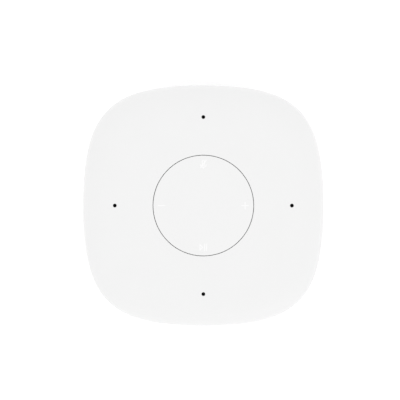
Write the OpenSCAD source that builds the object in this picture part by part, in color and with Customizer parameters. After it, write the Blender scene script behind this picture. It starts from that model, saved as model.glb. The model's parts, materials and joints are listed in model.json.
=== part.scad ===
// Streaming media player: a rounded-square puck with a four-way rocker disc and four far-field microphones.
// Frame: origin on the surface it stands on, below the centre; +X to the right, +Y to the sockets, +Z up.

/* [Body] */
// Width and depth of the body
body_w = 110; // [108:0.5:114]
// Height of the body above the surface it stands on
body_h = 32; // [32:0.5:35]
// Exponent of the rounded-square outline: 2 is a circle, and a higher one is squarer
squareness = 3.02; // [2.9:0.01:3.3]
// How far the outline draws in between its sides and its corners, which bows the sides a little
side_bow = 0.007; // [0:0.001:0.01]
// Thickness of the top cover
wall = 2.2; // [2:0.1:2.4]
// Gap between the surface and the base
foot_h = 2; // [1.5:0.1:2.2]

/* [Control disc] */
// Diameter of the control disc
disc_d = 45.6; // [45.4:0.1:46.4]
// Gap all round the control disc
disc_gap = 0.22; // [0.2:0.01:0.35]
// Distance of the four icons from the centre
icon_r = 19; // [17:0.5:19.5]

/* [Microphones] */
// Distance of the four microphones from the centre
mic_r = 40.3; // [39:0.1:40.7]
// Diameter of a microphone hole
mic_d = 1.7; // [1.2:0.1:1.8]

/* [Sockets] */
// Half width of the recess that holds the sockets
recess_half = 33; // [32.5:0.5:33.5]
// Depth of the recess below the middle of the back wall
recess_depth = 4.9; // [4.7:0.1:5.2]

/* [Hidden] */
$fn = 48;

eps = 0.01;
far = 200;
half = body_w / 2;
quarter_turns = [0, 90, 180, 270];
diagonals = [45, 135, 225, 315];

// Heights of the case
base_top = 7.8;
cover_bottom = 8.2;
floor_top = foot_h + 2;
shoulder_z = body_h - 10;
crown_w = half - 27;
inner_top = body_h - wall;

// Fixings of the case
case_screw_xy = 33;
cover_boss_r = 2.8;
case_pilot_r = 1.15;
board_boss_xy = 26.9;
board_pilot_r = 0.8;
case_seat_z = 4.6;
main_pilot_r = 0.9;

// Flat of the underside, and the lip that locates the cover
base_flat = 46;
lip_out = 52;
lip_top = 9.6;

// Feet and speaker slots
slot_r = 13;
foot_out = 44.5;
foot_in = 38;
foot_cut = 20;
foot_seat = 0.8;

// Rocker: disc, gimbal and switches
disc_r = disc_d / 2;
hole_r = disc_r + disc_gap;
disc_top = body_h - 0.05;
disc_plate = 1.75;
icon_t = 0.3;
skirt_in = 21.3;
skirt_bottom = body_h - 3.4;
carrier_t = 1.2;
carrier_bottom = disc_top - disc_plate - carrier_t;
pivot_z = body_h - 5.1;
pivot_pin_r = 0.8;
pivot_hole_r = 0.86;
ring_in = 11;
ring_out = 14;
ring_h = 2.6;
ear_in = 8.6;
ear_t = 1.6;
post_in = 15.4;
post_t = 1.6;
switch_r = 19.5;
switch_side = 4.4;
chassis_screw_r = 19;
nub_bottom = body_h - 4.5;
plunger_top = nub_bottom - 0.1;
plunger_r = 1.2;

// Control board under the cover
board_t = 1.2;
control_top = body_h - 8.5;
control_bottom = control_top - board_t;
control_r = 43.3;
led_r = 25.3;

// Main board on the base
main_bottom = 7.4;
main_t = 1.6;
main_top = main_bottom + main_t;
main_front = -2;
soc_xy = [-4, 12];
sink_z = main_top + 2.6;
flex_x = 27;
coax_x = 38.3;
antenna_x = half - wall - 1.7;
main_screws = [[-37, 3], [37, 3], [-37, 21], [37, 21]];

// Socket recess
panel_y = half - recess_depth;
panel_t = 1.5;
panel_bottom = 7.9;
panel_top = body_h - 9.6;
rim_t = 1.2;
brow_t = 0.5;
socket_y = panel_y - 0.2;
// Each socket as [centre x, width, height, depth]
hdmi = [-11.5, 15, 5.7, 12];
usb = [4.5, 13.2, 5.9, 14];
ethernet = [21, 16, 12.9, 16];
power = [-25, 9, 11, 14];
power_axis_z = main_top + 5.5;
power_hole_r = 3.1;
power_nose_r = 3.8;
power_pin_r = 1;
socket_gap = 0.3;

// Reset button under the base
reset_y = 36;
reset_r = 2.4;
reset_plunger_z = 5.2;

// Speaker, facing down
speaker_y = -22;
speaker_r = 17;
cone_r = 12;
chamber_r = 19.2;
flange_z = 4.8;
plate_z = 11.8;

// Colours
shell_white = "#f2f2f1";
base_grey = "#e4e4e2";
panel_black = "#26282b";
rubber_black = "#141516";
rubber_grey = "#8c8e90";
steel = "#b9bcc0";
nickel = "#c9ccd0";
board_green = "#1f5a3a";
plastic_black = "#1b1c1e";
plastic_cream = "#e9e4d4";
chip_black = "#202124";
copper = "#b87333";
signal_red = "#c8362e";

// Distance from the centre to a rounded square of half width a, at polar angle t
function outline_r(a, t) =
    a / pow(pow(abs(cos(t)), squareness) + pow(abs(sin(t)), squareness), 1 / squareness)
    * (1 - side_bow * pow(sin(4 * t), 2));

// Points of a rounded square of half width a
function outline(a, count) =
    [for (i = [0 : count - 1]) let (t = 360 * i / count) outline_r(a, t) * [cos(t), sin(t)]];

// Rings [half width, height] along a quarter of a superellipse, from the rim (w0, z0) to the crown (w1, z1)
function shoulder(w0, z0, w1, z1, exponent, steps) =
    [for (i = [0 : steps]) let (t = 90 * i / steps)
        [w1 + (w0 - w1) * pow(cos(t), 2 / exponent), z0 + (z1 - z0) * pow(sin(t), 2 / exponent)]];

// Points of a cubic Bezier curve
function bezier(p, steps) =
    [for (i = [0 : steps]) let (t = i / steps, s = 1 - t)
        s * s * s * p[0] + 3 * s * s * t * p[1] + 3 * s * t * t * p[2] + t * t * t * p[3]];

function unit(v) = v / norm(v);

// Range of a width about its middle, and a range of a length from its start
function about(middle, width) = [middle - width / 2, middle + width / 2];
function from(start, length) = [start, start + length];

// Closed solid through rounded-square rings [half width, height], lowest first
module loft(rings, count = 64) {
    last = len(rings) - 1;
    points = [for (ring = rings) for (p = outline(ring[0], count)) [p[0], p[1], ring[1]]];
    sides = [for (k = [0 : last - 1]) for (i = [0 : count - 1]) let (j = (i + 1) % count)
        [k * count + i, (k + 1) * count + i, (k + 1) * count + j, k * count + j]];
    under = [for (i = [0 : count - 1]) i];
    over = [for (i = [0 : count - 1]) last * count + count - 1 - i];
    polyhedron(points, concat([under], sides, [over]), convexity = 6);
}

// Round wire swept along a path that never runs along the direction across
module wire(path, r, across, sides = 8) {
    last = len(path) - 1;
    points = [for (i = [0 : last])
        let (t = unit(path[min(i + 1, last)] - path[max(i - 1, 0)]),
             u = unit(cross(t, across)), v = cross(t, u))
        for (k = [0 : sides - 1]) path[i] + r * (cos(360 * k / sides) * u + sin(360 * k / sides) * v)];
    skin = [for (i = [0 : last - 1]) for (k = [0 : sides - 1]) let (m = (k + 1) % sides)
        [i * sides + k, (i + 1) * sides + k, (i + 1) * sides + m, i * sides + m]];
    start = [for (k = [0 : sides - 1]) k];
    finish = [for (k = [0 : sides - 1]) last * sides + sides - 1 - k];
    polyhedron(points, concat([start], skin, [finish]), convexity = 4);
}

// Box between the given ranges of x, y and z
module block(x, y, z) {
    translate([x[0], y[0], z[0]]) cube([x[1] - x[0], y[1] - y[0], z[1] - z[0]]);
}

module tube(r_out, r_in, z0, z1) {
    translate([0, 0, z0]) difference() {
        cylinder(r = r_out, h = z1 - z0);
        translate([0, 0, -1]) cylinder(r = r_in, h = z1 - z0 + 2);
    }
}

module rod(r, z0, z1) {
    translate([0, 0, z0]) cylinder(r = r, h = z1 - z0);
}

// Pan-head screw on the Z axis; its head lies below its shank when up is true
module screw(head_r, head_h, shank_r, seat_z, shank, up = true) {
    translate([0, 0, seat_z]) rotate([up ? 0 : 180, 0, 0]) {
        translate([0, 0, -eps]) cylinder(r = shank_r, h = shank + eps);
        difference() {
            translate([0, 0, -head_h]) cylinder(r = head_r, h = head_h);
            for (a = [0, 90]) rotate(a)
                translate([-head_r * 0.6, -head_r * 0.12, -head_h - 1])
                    cube([head_r * 1.2, head_r * 0.24, 1 + head_h / 2]);
        }
    }
}

// Children at a radius along each of the given directions
module around(r, angles) {
    for (a = angles) rotate(a) translate([r, 0, 0]) children();
}

module at_corners(d) {
    for (x = [-d, d], y = [-d, d]) translate([x, y, 0]) children();
}

// Outline in X and Z, extruded forwards from the plane y
module facing_back(y, depth) {
    translate([0, y, 0]) rotate([90, 0, 0]) linear_extrude(depth) children();
}

module centred_rect(x, z0, w, h) {
    translate([x - w / 2, z0]) square([w, h]);
}

// ---- Case ----

module cover_shape(inset, z0) {
    loft(concat(
        [[half - 0.5 - inset, z0], [half - 0.1 - inset, cover_bottom + 2], [half - inset, cover_bottom + 6]],
        shoulder(half - inset, shoulder_z, crown_w - inset / 2, body_h - inset, 3, 8)
    ));
}

module top_cover() color(shell_white) difference() {
    union() {
        difference() {
            cover_shape(0, cover_bottom);
            cover_shape(wall, cover_bottom - 1);
        }
        tube(hole_r + 1.1, hole_r, skirt_bottom - 0.2, inner_top + 0.5);
        around(mic_r, quarter_turns) rod(3.2, body_h - 5.5, body_h - 1.4);
        at_corners(case_screw_xy) rod(cover_boss_r, base_top + 0.1, body_h - 1.6);
        at_corners(board_boss_xy) rod(2.4, control_top, body_h - 1.4);
    }
    rod(hole_r, 0, far);
    around(mic_r, quarter_turns) {
        rod(mic_d / 2, 0, far);
        rod(1.6, 0, body_h - 1.4);
    }
    at_corners(case_screw_xy) rod(case_pilot_r, 0, 18);
    at_corners(board_boss_xy) rod(board_pilot_r, 0, control_top + 4.5);
    block([-recess_half - 0.1, recess_half + 0.1], [half - 15, half + 5], [0, panel_top + 0.1]);
}

module speaker_slots() {
    for (i = [-4 : 4]) {
        x = 3 * i;
        run = 2 * sqrt(slot_r * slot_r - x * x) - 1;
        block(about(x, 1.4), about(speaker_y, run), [0, floor_top + 1]);
    }
}

module vent_slots() {
    for (side = [-1, 1], i = [0 : 5])
        block(about(side * 26, 15), about(8.5 + 3 * i, 1.4), [0, floor_top + 1]);
}

// Four corner pieces of a rounded-square ring
module foot_outline(grow = 0) {
    difference() {
        polygon(outline(foot_out + grow, 64));
        polygon(outline(foot_in - grow, 64));
        square([2 * (foot_cut - grow), far], center = true);
        square([far, 2 * (foot_cut - grow)], center = true);
    }
}

module base_shape() {
    curve = shoulder(half - 0.7, base_top, base_flat, foot_h, 2.2, 6);
    loft([for (i = [len(curve) - 1 : -1 : 0]) curve[i]]);
}

module base_tray() color(base_grey) difference() {
    union() {
        difference() {
            base_shape();
            loft([[49.4, floor_top], [51.2, floor_top + 1.6], [51.8, base_top + 1]]);
        }
        translate([0, 0, floor_top + 1]) linear_extrude(lip_top - floor_top - 1) difference() {
            polygon(outline(lip_out, 64));
            polygon(outline(lip_out - 1.2, 64));
        }
        at_corners(case_screw_xy) rod(3.4, floor_top - 1, base_top);
        for (p = main_screws) translate(p) rod(2.6, floor_top - 1, main_bottom);
    }
    block([-recess_half - 1.5, recess_half + 1.5], [half - 15, half + 5], [base_top, far]);
    translate([0, 0, -1]) linear_extrude(foot_h + foot_seat + 1) foot_outline(0.1);
    at_corners(case_screw_xy) {
        rod(2.6, 0, case_seat_z);
        rod(1.35, 0, far);
    }
    for (p = main_screws) translate(p) rod(main_pilot_r, floor_top + 0.6, far);
    translate([0, reset_y, 0]) rod(reset_r + 0.1, 0, far);
    block([-14, 14], [8, 26], [0, foot_h + 0.3]);
    speaker_slots();
    vent_slots();
}

module feet() color(rubber_grey) linear_extrude(foot_h + foot_seat) foot_outline();

module case_screws() color(steel)
    at_corners(case_screw_xy) screw(2.2, 1.3, case_pilot_r, case_seat_z, 9.5);

module rear_port_panel() color(panel_black) difference() {
    intersection() {
        block([-recess_half, recess_half], [panel_y - panel_t, half], [panel_bottom, panel_top]);
        linear_extrude(far) polygon(outline(half - 0.8, 64));
    }
    block(about(0, 2 * (recess_half - rim_t)), [panel_y, half + 1], [panel_bottom + 1, panel_top - brow_t]);
    for (s = [hdmi, ethernet, usb])
        block(about(s[0], s[1] + 2 * socket_gap), [panel_y - 5, panel_y + eps],
              [panel_bottom + 1, main_top + s[2] + socket_gap]);
    translate([power[0], half, power_axis_z]) rotate([90, 0, 0]) cylinder(r = power_nose_r + 0.2, h = 20);
}

// ---- Rocker ----

module capsule(r) {
    square([2 * r, 1.5], center = true);
    for (y = [-0.75, 0.75]) translate([0, y]) circle(r = r);
}

module microphone_icon() {
    difference() {
        capsule(0.7);
        capsule(0.33);
    }
    translate([0, -0.6]) difference() {
        circle(r = 1.5);
        circle(r = 1.12);
        translate([-2, 0]) square([4, 4]);
    }
    translate([-0.2, -2.6]) square([0.4, 0.8]);
    rotate(52) translate([-2.3, -0.2]) square([4.6, 0.4]);
}

module play_pause_icon() {
    difference() {
        polygon([[-1.75, -1.8], [-1.75, 1.8], [-0.05, 0]]);
        polygon([[-1.35, -0.75], [-1.35, 0.75], [-0.62, 0]]);
    }
    for (x = [0.6, 1.5]) translate([x - 0.2, -1.75]) square([0.4, 3.5]);
}

module minus_icon() square([3.5, 0.42], center = true);

module plus_icon() {
    minus_icon();
    rotate(90) minus_icon();
}

module icon_shapes() {
    translate([0, icon_r]) microphone_icon();
    translate([0, -icon_r]) play_pause_icon();
    translate([-icon_r, 0]) minus_icon();
    translate([icon_r, 0]) plus_icon();
}

module control_disc() color(shell_white) difference() {
    rotate_extrude() polygon([
        [0, disc_top - disc_plate], [0, disc_top], [disc_r - 0.2, disc_top], [disc_r, disc_top - 0.2],
        [disc_r, skirt_bottom], [skirt_in, skirt_bottom], [skirt_in, disc_top - disc_plate]
    ]);
    translate([0, 0, disc_top - icon_t]) linear_extrude(1) icon_shapes();
}

module disc_icons() color("white")
    translate([0, 0, disc_top - icon_t]) linear_extrude(icon_t + 0.02) icon_shapes();

module disc_carrier() color(plastic_black) difference() {
    union() {
        rod(skirt_in - 0.3, carrier_bottom, carrier_bottom + carrier_t);
        for (side = [0, 180]) rotate(side)
            block([ear_in, ear_in + ear_t], [-2, 2], [pivot_z - ring_h / 2, carrier_bottom + eps]);
        around(switch_r, quarter_turns) rod(1, nub_bottom, carrier_bottom + eps);
    }
    translate([-far / 2, 0, pivot_z]) rotate([0, 90, 0]) cylinder(r = pivot_hole_r, h = far);
}

module gimbal_ring() color(plastic_cream) difference() {
    tube(ring_out, ring_in, pivot_z - ring_h / 2, pivot_z + ring_h / 2);
    for (a = [0, 90]) rotate(a) translate([-far / 2, 0, pivot_z]) rotate([0, 90, 0])
        cylinder(r = pivot_pin_r, h = far);
}

module gimbal_pins() color(steel) {
    for (a = [0, 180]) rotate(a) translate([ear_in - 0.2, 0, pivot_z]) rotate([0, 90, 0])
        cylinder(r = pivot_pin_r, h = ring_out - ear_in);
    for (a = [90, 270]) rotate(a) translate([ring_in + 0.2, 0, pivot_z]) rotate([0, 90, 0])
        cylinder(r = pivot_pin_r, h = post_in + post_t - ring_in);
}

module rocker_chassis() color(plastic_black) difference() {
    union() {
        rod(skirt_in + 0.6, control_top, control_top + 1);
        for (side = [90, 270]) rotate(side)
            block([post_in, post_in + post_t], [-2.5, 2.5], [control_top, pivot_z + ring_h / 2]);
        around(chassis_screw_r, diagonals) rod(1.7, control_top, control_top + 2.7);
    }
    rod(6, 0, far);
    around(switch_r, quarter_turns) block([-2.5, 2.5], [-2.5, 2.5], [0, control_top + 1.5]);
    around(chassis_screw_r, diagonals) rod(0.6, 0, control_top + 2.2);
    rotate(90) translate([-far / 2, 0, pivot_z]) rotate([0, 90, 0]) cylinder(r = pivot_hole_r, h = far);
}

module chassis_screws() color(steel)
    around(chassis_screw_r, diagonals) screw(1.1, 0.7, 0.6, control_bottom, 3.2);

module switch_bodies() color(plastic_black) around(switch_r, quarter_turns) difference() {
    block(about(0, switch_side), about(0, switch_side), from(control_top, 2.8));
    rod(plunger_r + 0.1, control_top + 1.1, far);
}

module plunger(angle) color(signal_red)
    around(switch_r, [angle]) rod(plunger_r, control_top + 1.8, plunger_top);

module plunger_volume_up() plunger(0);
module plunger_mute() plunger(90);
module plunger_volume_down() plunger(180);
module plunger_play() plunger(270);

// ---- Control board ----

module control_board() color(board_green) difference() {
    rod(control_r, control_bottom, control_top);
    around(mic_r, quarter_turns) rod(0.5, 0, far);
    at_corners(board_boss_xy) rod(0.9, 0, far);
    around(chassis_screw_r, diagonals) rod(0.7, 0, far);
}

module control_board_screws() color(steel)
    at_corners(board_boss_xy) screw(1.7, 1.1, board_pilot_r, control_bottom, 5);

module indicator_leds() color("#f4f0d8")
    around(led_r, [0 : 30 : 330]) block(about(0, 0.8), about(0, 1.6), from(control_top, 0.7));

module light_guide() color("#eef3f6") {
    tube(led_r + 0.7, led_r - 0.7, control_top + 0.9, inner_top - 0.2);
    tube(led_r - 0.69, disc_r - 0.55, skirt_bottom - 2.4, skirt_bottom - 1.2);
    around(led_r, diagonals) rod(0.6, control_top, control_top + 1);
}

module microphones() color(nickel)
    around(mic_r, quarter_turns) block(about(0, 2.6), about(0, 3.5), from(control_bottom - 1, 1));

module microphone_boots() color(rubber_black) around(mic_r, quarter_turns) rotate_extrude() polygon([
    [mic_d / 2 - 0.2, control_top], [3, control_top], [3, body_h - 5.7], [1.5, body_h - 5.7],
    [1.5, body_h - 1.5], [mic_d / 2 - 0.05, body_h - 1.5], [mic_d / 2 - 0.05, body_h - 0.7],
    [mic_d / 2 - 0.2, body_h - 0.7]
]);

// ---- Main board ----

module main_board() color(board_green) difference() {
    translate([0, 0, main_bottom]) linear_extrude(main_t) intersection() {
        polygon(outline(50.2, 64));
        translate([-40, main_front]) square([80, panel_y - 1.9 - main_front]);
    }
    at_corners(case_screw_xy) rod(4, 0, far);
    for (p = main_screws) translate(p) rod(1.1, 0, far);
}

module main_board_screws() color(steel)
    for (p = main_screws) translate(p) screw(1.8, 1.1, main_pilot_r, main_top, 4, false);

// Chip standing on the main board, given by its centre, plan size and height
module chip(x, y, w, d, h, z = main_top) {
    translate([x - w / 2, y - d / 2, z]) cube([w, d, h]);
}

module processor() color(chip_black) chip(soc_xy[0], soc_xy[1], 15, 15, 1.6);

module memory_chips() color(chip_black) {
    for (y = [4, 20]) chip(11, y, 8, 12, 1.1);
    chip(-20, soc_xy[1], 10, 13, 1);
}

module thermal_pad() color("#9fb4c8") chip(soc_xy[0], soc_xy[1], 15, 15, 1, main_top + 1.6);

module heat_sink() color("#a9adb1") translate([soc_xy[0] - 20, 0, sink_z]) {
    block([0, 40], [0, 28], [0, 2]);
    for (i = [0 : 7]) block([0, 40], from(3.8 * i, 1.4), [2 - eps, 7.6]);
}

module wireless_shield() color(nickel) difference() {
    chip(-30.5, 12, 11, 12, 2.2);
    chip(-30.5, 12, 10.4, 11.4, 1.9, main_top - eps);
}

module ethernet_transformer() color(chip_black) chip(24, 25, 12, 7, 4.2);

module capacitors() color("#3a3f55")
    for (x = [-25, -18.5, -12]) translate([x, 32.4, 0]) rod(2.4, main_top, main_top + 7);

module power_inductors() color("#4a4a4c") {
    chip(-5.5, 32.5, 5, 5, 3);
    chip(23, 16, 5, 5, 3);
}

module flex_connectors() color(plastic_cream) {
    block(about(flex_x, 12), [0, 4], from(main_top, 1.6));
    block(about(flex_x, 12), [-8, -4], from(control_bottom - 1.6, 1.6));
    chip(20, 10, 5, 4, 3.4);
}

// Flat ribbon that leaves the upper connector forwards, turns down and enters the lower one
module board_flex_cable() color("#d8d4c4") {
    line = bezier([[-8, control_bottom - 0.8], [-22, control_bottom - 0.8], [-18, main_top + 0.8],
                   [0, main_top + 0.8]], 14);
    last = len(line) - 1;
    sides = [for (i = [0 : last])
        let (t = unit(line[min(i + 1, last)] - line[max(i - 1, 0)])) 0.15 * [-t[1], t[0]]];
    outer = [for (i = [0 : last]) line[i] + sides[i]];
    inner = [for (i = [last : -1 : 0]) line[i] - sides[i]];
    translate([flex_x - 5, 0, 0]) rotate([90, 0, 90]) linear_extrude(10) polygon(concat(outer, inner));
}

// ---- Sockets ----

module hdmi_outline(inset) {
    w = hdmi[1] / 2 - inset;
    base = w - 1.6 + 0.2 * inset;
    knee = 2.2 + 0.4 * inset;
    top = hdmi[2] - inset;
    polygon([[-w, top], [w, top], [w, knee], [base, inset], [-base, inset], [-w, knee]]);
}

module hdmi_socket() color(nickel) translate([hdmi[0], 0, main_top]) difference() {
    facing_back(socket_y, hdmi[3]) hdmi_outline(0);
    translate([0, 1, 0]) facing_back(socket_y, hdmi[3] + 0.5) hdmi_outline(0.45);
}

module hdmi_tongue() color(plastic_black) translate([hdmi[0], socket_y, main_top]) {
    block([-5.6, 5.6], [-9.5, -1], [2.3, 3.5]);
    block([-5.6, 5.6], [-11.4, -9], [0.9, 4.9]);
}

module ethernet_socket() color(nickel) translate([ethernet[0], 0, main_top]) difference() {
    facing_back(socket_y, ethernet[3]) centred_rect(0, 0, ethernet[1], ethernet[2]);
    translate([0, 1, 0]) facing_back(socket_y, 14) {
        centred_rect(0, 3.9, 11.9, 6.8);
        centred_rect(0, 2.5, 6.2, 1.5);
        centred_rect(0, 1.2, 3.4, 1.4);
    }
}

module ethernet_contacts() color("#d4af37") translate([ethernet[0], socket_y, main_top])
    for (i = [-3.5 : 3.5]) translate([1.02 * i - 0.2, 0, 0]) rotate([90, 0, 90]) linear_extrude(0.4)
        polygon([[-1.5, 10.5], [-10, 8.6], [-10, 8.95], [-1.5, 10.7]]);

module usb_socket() color(nickel) translate([usb[0], 0, main_top]) difference() {
    facing_back(socket_y, usb[3]) centred_rect(0, 0, usb[1], usb[2]);
    translate([0, 1, 0]) facing_back(socket_y, usb[3] + 0.5) centred_rect(0, 0.4, usb[1] - 0.8, usb[2] - 0.8);
}

module usb_tongue() color(plastic_black) translate([usb[0], socket_y, main_top]) {
    block([-5.6, 5.6], [-9.5, -1], [3.3, 5.1]);
    block([-5.8, 5.8], [-12, -9], [0.8, 5.1]);
}

module power_jack() color(plastic_black) difference() {
    union() {
        translate([power[0], 0, main_top]) facing_back(socket_y - 1.5, power[3] - 1.5)
            centred_rect(0, 0, power[1], power[2]);
        translate([power[0], socket_y, power_axis_z]) rotate([90, 0, 0]) cylinder(r = power_nose_r, h = 3);
    }
    translate([power[0], socket_y + 1, power_axis_z]) rotate([90, 0, 0]) cylinder(r = power_hole_r, h = 11);
}

module power_jack_pin() color(nickel)
    translate([power[0], socket_y - 1, power_axis_z]) rotate([90, 0, 0]) cylinder(r = power_pin_r, h = 9);

// ---- Reset button ----

module reset_cap() color(panel_black) translate([0, reset_y, 0]) {
    rod(reset_r, foot_h + 0.5, floor_top + 0.2);
    rod(reset_r + 1, floor_top + 0.1, floor_top + 0.8);
    rod(1.2, floor_top + 0.7, reset_plunger_z - 0.05);
}

module reset_switch() color(nickel) translate([0, reset_y, 0]) difference() {
    block(about(0, 4.4), about(0, 4.4), from(main_bottom - 1.6, 1.6));
    rod(1, 0, main_bottom - 0.3);
}

module reset_plunger() color(signal_red)
    translate([0, reset_y, 0]) rod(0.9, reset_plunger_z, main_bottom - 0.9);

// ---- Antennas ----

module antennas() color("#c9a646") for (side = [0, 180]) rotate(side)
    block([antenna_x, antenna_x + 0.8], [-12, 12], [12, 20]);

module antenna_leads() color("#3b3b3b") for (side = [-1, 1]) wire(bezier([
    [side * antenna_x, 8, 16], [side * (antenna_x - 6), 8, 16],
    [side * coax_x, 12, 17], [side * coax_x, 12, main_top + 1.3]], 14), 0.55, [0, 1, 0]);

module coax_sockets() color("#d4af37")
    for (side = [-1, 1]) translate([side * coax_x, 12, 0]) tube(1.4, 0.6, main_top, main_top + 1.3);

// ---- Speaker ----

module speaker_chamber() color(plastic_black) translate([0, speaker_y, 0]) difference() {
    rod(chamber_r, floor_top, 18.6);
    rod(chamber_r - 1.2, 0, 17.4);
    rotate(45) block([chamber_r - 3, chamber_r + 1], [-1.8, 1.8], [11.6, 13.8]);
}

module speaker_gasket() color(rubber_black) translate([0, speaker_y, 0])
    tube(speaker_r, speaker_r - 2.2, floor_top, flange_z);

module speaker_basket() color("#5a5d61") translate([0, speaker_y, 0]) difference() {
    rotate_extrude() polygon([
        [speaker_r - 2.2, flange_z], [speaker_r, flange_z], [speaker_r, flange_z + 1.4],
        [15.5, flange_z + 1.4], [10.8, plate_z], [6.4, plate_z], [6.4, plate_z - 1], [10, plate_z - 1],
        [speaker_r - 2.2, flange_z + 0.9]
    ]);
    around(0, diagonals) block([9, 14.5], [-3, 3], [flange_z + 1.6, plate_z - 1.2]);
}

module speaker_surround() color(rubber_black) translate([0, speaker_y, flange_z]) rotate_extrude()
    translate([cone_r + 1.4, 0]) {
        difference() {
            circle(r = 1.1);
            circle(r = 0.8);
            translate([-3, -6]) square([6, 6]);
        }
        for (x = [-1.4, 1]) translate([x, 0]) square([0.4, 0.2]);
    }

module speaker_cone() color("#303236") translate([0, speaker_y, flange_z]) rotate_extrude() polygon([
    [0, 3.1], [2.4, 3.3], [4, 4], [4.6, 4.7], [cone_r - 0.5, 0.2], [cone_r, 0.2], [cone_r, 0.7],
    [4.9, 5.6], [4, 5.6], [4, 4.6], [2.4, 3.8], [0, 3.6]
]);

module voice_coil() color(copper) translate([0, speaker_y, 0]) tube(4.6, 4, flange_z + 5.6, plate_z + 2.2);

module speaker_yoke() color(steel) translate([0, speaker_y, 0]) {
    tube(10, 5.2, plate_z, plate_z + 1.2);
    rod(10, plate_z + 4.2, plate_z + 5.2);
    rod(3.6, plate_z - 0.4, plate_z + 4.3);
}

module speaker_magnet() color("#2e2e30") translate([0, speaker_y, 0])
    tube(10, 6.4, plate_z + 1.2, plate_z + 4.2);

module speaker_leads() color("#a33328") for (i = [-1, 1]) wire(bezier([
    [8.5 + 0.5 * i, -13.5 - 0.5 * i, 11], [14.5 + 0.5 * i, -7.5 - 0.5 * i, 14.5],
    [20 + 0.7 * i, -4, 12], [20 + 0.7 * i, 8, 11]], 12), 0.5, [0, 0, 1]);

top_cover();
base_tray();
rear_port_panel();
feet();
case_screws();
control_disc();
disc_icons();
disc_carrier();
gimbal_ring();
gimbal_pins();
rocker_chassis();
chassis_screws();
switch_bodies();
plunger_mute();
plunger_volume_up();
plunger_play();
plunger_volume_down();
control_board();
control_board_screws();
indicator_leds();
light_guide();
microphones();
microphone_boots();
main_board();
main_board_screws();
processor();
memory_chips();
thermal_pad();
heat_sink();
wireless_shield();
ethernet_transformer();
capacitors();
power_inductors();
flex_connectors();
board_flex_cable();
hdmi_socket();
hdmi_tongue();
ethernet_socket();
ethernet_contacts();
usb_socket();
usb_tongue();
power_jack();
power_jack_pin();
reset_cap();
reset_switch();
reset_plunger();
antennas();
antenna_leads();
coax_sockets();
speaker_chamber();
speaker_gasket();
speaker_basket();
speaker_surround();
speaker_cone();
voice_coil();
speaker_yoke();
speaker_magnet();
speaker_leads();
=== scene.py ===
"""Streaming media player: smooth shells, rear sockets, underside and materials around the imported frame.

Shapes are drawn in millimetres on the frame's own origin and axes, and piece() turns them into metres.
"""

import json
import math

import bmesh
import bpy
from mathutils import Matrix, Vector


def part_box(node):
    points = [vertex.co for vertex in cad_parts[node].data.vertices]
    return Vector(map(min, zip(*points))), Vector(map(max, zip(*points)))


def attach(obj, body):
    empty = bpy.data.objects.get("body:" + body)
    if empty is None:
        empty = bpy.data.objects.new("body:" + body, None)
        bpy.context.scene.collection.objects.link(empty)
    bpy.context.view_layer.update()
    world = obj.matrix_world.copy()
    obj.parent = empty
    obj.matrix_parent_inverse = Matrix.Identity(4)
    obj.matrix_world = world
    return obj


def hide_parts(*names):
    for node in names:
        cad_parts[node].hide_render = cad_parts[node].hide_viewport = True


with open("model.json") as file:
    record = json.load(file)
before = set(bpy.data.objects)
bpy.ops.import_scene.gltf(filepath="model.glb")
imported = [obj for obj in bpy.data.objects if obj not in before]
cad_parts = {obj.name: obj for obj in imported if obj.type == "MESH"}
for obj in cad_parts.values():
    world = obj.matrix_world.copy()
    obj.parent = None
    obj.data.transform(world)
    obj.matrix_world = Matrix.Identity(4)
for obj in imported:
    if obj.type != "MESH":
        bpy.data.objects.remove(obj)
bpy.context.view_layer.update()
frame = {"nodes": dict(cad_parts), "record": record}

MM = 0.001


def corners(node):
    """A CAD node's lowest and highest corners, in millimetres."""
    low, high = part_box(node)
    return low / MM, high / MM


# Driving dimensions, read from the frame
cover_low, cover_high = corners("top_cover")
base_low = corners("base_tray")[0]
disc_low, disc_high = corners("control_disc")
panel_low, panel_high = corners("rear_port_panel")
board_low, board_high = corners("main_board")
HALF = cover_high.x
BODY_TOP = cover_high.z
COVER_BOTTOM = cover_low.z
DISC_R = disc_high.x
DISC_TOP = disc_high.z
SKIRT_BOTTOM = disc_low.z
FOOT_H = base_low.z
BOARD_TOP = board_high.z

# Shape of the case, as the CAD model has it, in mm
SQUARENESS = 3.02
SIDE_BOW = 0.007
WALL = 2.2
CROWN = HALF - 27
SHOULDER_H = 10
SHOULDER_EXPONENT = 3
DISC_GAP = 0.22
HOLE_R = DISC_R + DISC_GAP
BOOT_R = 3
MIC_R = corners("microphone_boots")[1].x - BOOT_R
MIC_HOLE_R = 0.85
CASE_SCREW_XY = 33
BOARD_BOSS_XY = 26.9
BASE_TOP = 7.8
BASE_RIM = HALF - 0.7
BASE_FLAT = 46
FLOOR_TOP = FOOT_H + 2
FOOT_SEAT = 0.8
FOOT_OUT = 44.5
FOOT_IN = 38
FOOT_CUT = 20
SLOT_R = 13
CONTROL_BOARD_TOP = BODY_TOP - 8.5
RECESS_HALF = 33
RECESS_SIDE = 1.2
RECESS_BROW = 0.5
MAIN_SCREWS = [(-37, 3), (37, 3), (-37, 21), (37, 21)]
RESET_Y = 36
SPEAKER_Y = -22
SPOKES = 192
QUARTERS = [0, 90, 180, 270]


# ---- Outlines and solids ----


def squircle_point(half, t, z=0):
    """Point of a rounded square of a half width, at a polar angle."""
    c, s = math.cos(t), math.sin(t)
    r = half / (abs(c) ** SQUARENESS + abs(s) ** SQUARENESS) ** (1 / SQUARENESS)
    r *= 1 - SIDE_BOW * math.sin(4 * t) ** 2
    return Vector((r * c, r * s, z))


def squircle(half, z, count=SPOKES):
    """Rounded-square loop of a half width at a height."""
    return [squircle_point(half, math.tau * i / count, z) for i in range(count)]


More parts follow.
